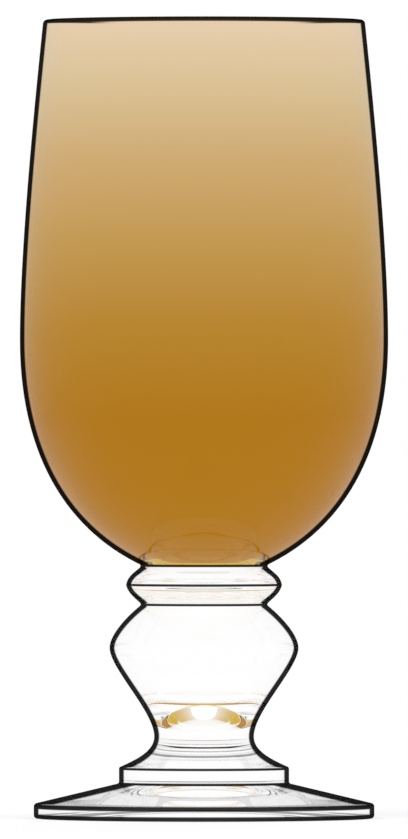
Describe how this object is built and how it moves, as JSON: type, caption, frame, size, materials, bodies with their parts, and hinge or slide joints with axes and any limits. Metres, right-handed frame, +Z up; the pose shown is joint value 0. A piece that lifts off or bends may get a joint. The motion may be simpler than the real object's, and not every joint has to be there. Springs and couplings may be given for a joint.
{
  "type": "all-purpose goblet",
  "caption": "Glass goblet: a deep bowl with an amber tint that fades towards the rim, on a knop, a baluster stem, a stepped collar and a shallow cone of a foot.",
  "frame": {"origin": "on the table, under the middle of the foot", "axes": "+Z up along the axis that the glass is turned about, out of the bowl's mouth; X and Y are alike, because the glass is round"},
  "size_m": [0.0784, 0.0784, 0.17],
  "materials": {
    "glass": "clear, fire-polished; the bowl's amber tint is deepest round its base and fades towards the rim, and the knop, stem and foot are colourless"
  },
  "bodies": {
    "root": {"goblet": "glass"}
  },
  "joints": []
}
